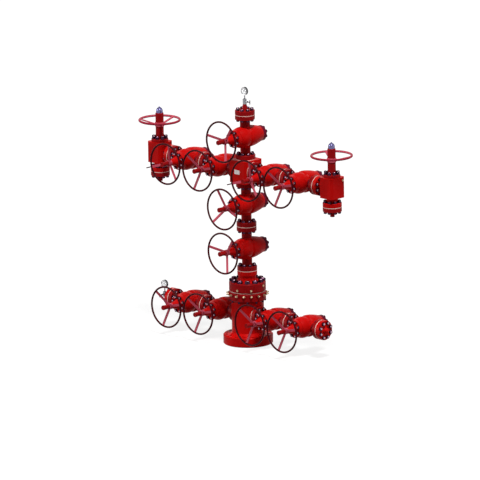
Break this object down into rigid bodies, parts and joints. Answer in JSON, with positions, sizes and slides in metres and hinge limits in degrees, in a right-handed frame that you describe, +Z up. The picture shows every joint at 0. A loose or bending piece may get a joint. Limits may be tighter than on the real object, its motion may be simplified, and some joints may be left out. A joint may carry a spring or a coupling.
{
  "type": "oil wellhead valve stack",
  "caption": "Flanged injection wellhead: a tubing head on a base flange carries gate valves, a cross, wing arms with chokes, side annulus arms and a capped top with a gauge.",
  "frame": {"origin": "centre of the base flange's bottom face, where the casing bore opens", "axes": "+X along the right-hand arms, -Y toward the handwheels, +Z up the tree"},
  "size_m": [3.126, 0.7225, 2.8679],
  "materials": {
    "red_paint": "gloss",
    "wheel_paint": "gloss",
    "dark_steel": "satin",
    "bare_steel": "satin",
    "blue_steel": "satin",
    "brass": "satin",
    "gasket": "matte",
    "gauge_case": "satin",
    "gauge_dial": "matte",
    "gauge_glass": "gloss",
    "bare_plate": "satin"
  },
  "bodies": {
    "stack": {"base_flange": "red_paint", "tubing_head": "red_paint", "lock_screws": "brass", "head_adapter": "red_paint", "ring_gaskets": "gasket", "cross_block": "red_paint", "tree_cap": "red_paint", "swab_body": "red_paint", "swab_bonnet": "red_paint", "upper_master_body": "red_paint", "upper_master_bonnet": "red_paint", "lower_master_body": "red_paint", "lower_master_bonnet": "red_paint", "left_inner_wing_body": "red_paint", "left_inner_wing_bonnet": "red_paint", "left_outer_wing_body": "red_paint", "left_outer_wing_bonnet": "red_paint", "right_inner_wing_body": "red_paint", "right_inner_wing_bonnet": "red_paint", "right_outer_wing_body": "red_paint", "right_outer_wing_bonnet": "red_paint", "left_inner_annulus_body": "red_paint", "left_inner_annulus_bonnet": "red_paint", "left_outer_annulus_body": "red_paint", "left_outer_annulus_bonnet": "red_paint", "right_inner_annulus_body": "red_paint", "right_inner_annulus_bonnet": "red_paint", "right_outer_annulus_body": "red_paint", "right_outer_annulus_bonnet": "red_paint", "back_covers": "red_paint", "left_choke_body": "red_paint", "right_choke_body": "red_paint", "choke_bonnets": "red_paint", "stem_caps": "blue_steel", "outlet_flanges": "red_paint", "annulus_end_flanges": "red_paint", "needle_valves": "bare_steel", "pressure_gauges": "gauge_case"},
    "swab_handwheel": {"swab_wheel": "wheel_paint"},
    "upper_master_handwheel": {"upper_master_wheel": "wheel_paint"},
    "lower_master_handwheel": {"lower_master_wheel": "wheel_paint"},
    "left_inner_wing_handwheel": {"left_inner_wing_wheel": "wheel_paint"},
    "left_outer_wing_handwheel": {"left_outer_wing_wheel": "wheel_paint"},
    "right_inner_wing_handwheel": {"right_inner_wing_wheel": "wheel_paint"},
    "right_outer_wing_handwheel": {"right_outer_wing_wheel": "wheel_paint"},
    "left_inner_annulus_handwheel": {"left_inner_annulus_wheel": "wheel_paint"},
    "left_outer_annulus_handwheel": {"left_outer_annulus_wheel": "wheel_paint"},
    "right_inner_annulus_handwheel": {"right_inner_annulus_wheel": "wheel_paint"},
    "right_outer_annulus_handwheel": {"right_outer_annulus_wheel": "wheel_paint"},
    "left_choke_handwheel": {"left_choke_wheel": "wheel_paint"},
    "right_choke_handwheel": {"right_choke_wheel": "wheel_paint"},
    "cap_handle": {"cap_needle_handle": "dark_steel"},
    "annulus_handle": {"annulus_needle_handle": "dark_steel"}
  },
  "joints": [
    {"name": "swab_turn", "type": "hinge", "parent": "stack", "child": "swab_handwheel", "pos_m": [0, -0.317, 2.3135], "axis": [0, -1, 0], "continuous": true},
    {"name": "upper_master_turn", "type": "hinge", "parent": "stack", "child": "upper_master_handwheel", "pos_m": [0, -0.317, 1.5595], "axis": [0, -1, 0], "continuous": true},
    {"name": "lower_master_turn", "type": "hinge", "parent": "stack", "child": "lower_master_handwheel", "pos_m": [0, -0.317, 1.0645], "axis": [0, -1, 0], "continuous": true},
    {"name": "left_inner_wing_turn", "type": "hinge", "parent": "stack", "child": "left_inner_wing_handwheel", "pos_m": [-0.377, -0.317, 1.9365], "axis": [0, -1, 0], "continuous": true},
    {"name": "left_outer_wing_turn", "type": "hinge", "parent": "stack", "child": "left_outer_wing_handwheel", "pos_m": [-0.872, -0.317, 1.9365], "axis": [0, -1, 0], "continuous": true},
    {"name": "right_inner_wing_turn", "type": "hinge", "parent": "stack", "child": "right_inner_wing_handwheel", "pos_m": [0.377, -0.317, 1.9365], "axis": [0, -1, 0], "continuous": true},
    {"name": "right_outer_wing_turn", "type": "hinge", "parent": "stack", "child": "right_outer_wing_handwheel", "pos_m": [0.872, -0.317, 1.9365], "axis": [0, -1, 0], "continuous": true},
    {"name": "left_inner_annulus_turn", "type": "hinge", "parent": "stack", "child": "left_inner_annulus_handwheel", "pos_m": [-0.3995, -0.317, 0.323], "axis": [0, -1, 0], "continuous": true},
    {"name": "left_outer_annulus_turn", "type": "hinge", "parent": "stack", "child": "left_outer_annulus_handwheel", "pos_m": [-0.8945, -0.317, 0.323], "axis": [0, -1, 0], "continuous": true},
    {"name": "right_inner_annulus_turn", "type": "hinge", "parent": "stack", "child": "right_inner_annulus_handwheel", "pos_m": [0.3995, -0.317, 0.323], "axis": [0, -1, 0], "continuous": true},
    {"name": "right_outer_annulus_turn", "type": "hinge", "parent": "stack", "child": "right_outer_annulus_handwheel", "pos_m": [0.8945, -0.317, 0.323], "axis": [0, -1, 0], "continuous": true},
    {"name": "left_choke_turn", "type": "hinge", "parent": "stack", "child": "left_choke_handwheel", "pos_m": [-1.329, 0, 2.2535], "axis": [0, 0, 1], "continuous": true},
    {"name": "right_choke_turn", "type": "hinge", "parent": "stack", "child": "right_choke_handwheel", "pos_m": [1.329, 0, 2.2535], "axis": [0, 0, 1], "continuous": true},
    {"name": "cap_needle_turn", "type": "hinge", "parent": "stack", "child": "cap_handle", "pos_m": [0.035, 0, 2.7073], "axis": [1, 0, 0], "continuous": true},
    {"name": "annulus_needle_turn", "type": "hinge", "parent": "stack", "child": "annulus_handle", "pos_m": [-1.29, -0.035, 0.343], "axis": [0, -1, 0], "continuous": true}
  ]
}
